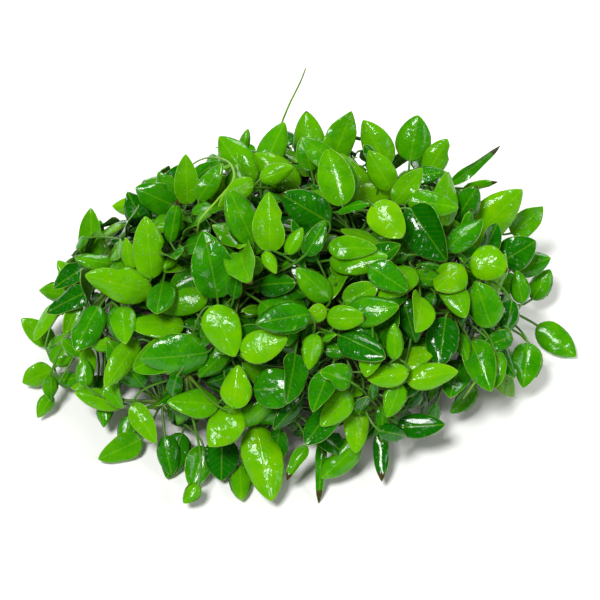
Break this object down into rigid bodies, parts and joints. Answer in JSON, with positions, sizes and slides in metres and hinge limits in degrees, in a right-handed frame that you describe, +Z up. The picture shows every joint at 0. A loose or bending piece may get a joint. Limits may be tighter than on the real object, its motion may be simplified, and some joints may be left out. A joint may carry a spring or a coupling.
{
  "type": "anubias on stone",
  "caption": "Small-leaved anubias aquarium plant grown as a dense glossy green mound over a rounded stone, with creeping rhizomes and a few free roots.",
  "frame": {"origin": "middle of the stone's flat underside", "axes": "+Z up, +X along the mound's longest side, to the right seen from the front; the show side faces -Y and up"},
  "size_m": [0.1903, 0.1463, 0.079],
  "materials": {
    "stone": "rough, porous, dark reddish brown",
    "rhizome": "matt green-brown bark-like skin",
    "leaf": "glossy wet leaf, bright yellow-green when young, deep green when old, with paler undersides",
    "root": "thin satin yellow-green root"
  },
  "bodies": {
    "root": {"stone": "stone", "rhizome_01": "rhizome", "rhizome_02": "rhizome", "rhizome_03": "rhizome", "rhizome_04": "rhizome", "rhizome_05": "rhizome", "rhizome_06": "rhizome", "rhizome_07": "rhizome", "rhizome_08": "rhizome", "rhizome_09": "rhizome", "rhizome_10": "rhizome", "rhizome_11": "rhizome", "shoot_01": "leaf", "shoot_02": "leaf", "shoot_03": "leaf", "shoot_04": "leaf", "shoot_05": "leaf", "shoot_06": "leaf", "shoot_07": "leaf", "shoot_08": "leaf", "shoot_09": "leaf", "shoot_10": "leaf", "shoot_11": "leaf", "shoot_12": "leaf", "shoot_13": "leaf", "shoot_14": "leaf", "shoot_15": "leaf", "shoot_16": "leaf", "shoot_17": "leaf", "shoot_18": "leaf", "shoot_19": "leaf", "shoot_20": "leaf", "shoot_21": "leaf", "shoot_22": "leaf", "shoot_23": "leaf", "shoot_24": "leaf", "shoot_25": "leaf", "shoot_26": "leaf", "shoot_27": "leaf", "shoot_28": "leaf", "shoot_29": "leaf", "shoot_30": "leaf", "shoot_31": "leaf", "shoot_32": "leaf", "shoot_33": "leaf", "shoot_34": "leaf", "shoot_35": "leaf", "shoot_36": "leaf", "shoot_37": "leaf", "shoot_38": "leaf", "shoot_39": "leaf", "shoot_40": "leaf", "shoot_41": "leaf", "shoot_42": "leaf", "shoot_43": "leaf", "shoot_44": "leaf", "root_crown": "root", "root_arc": "root", "root_right": "root"}
  },
  "joints": []
}
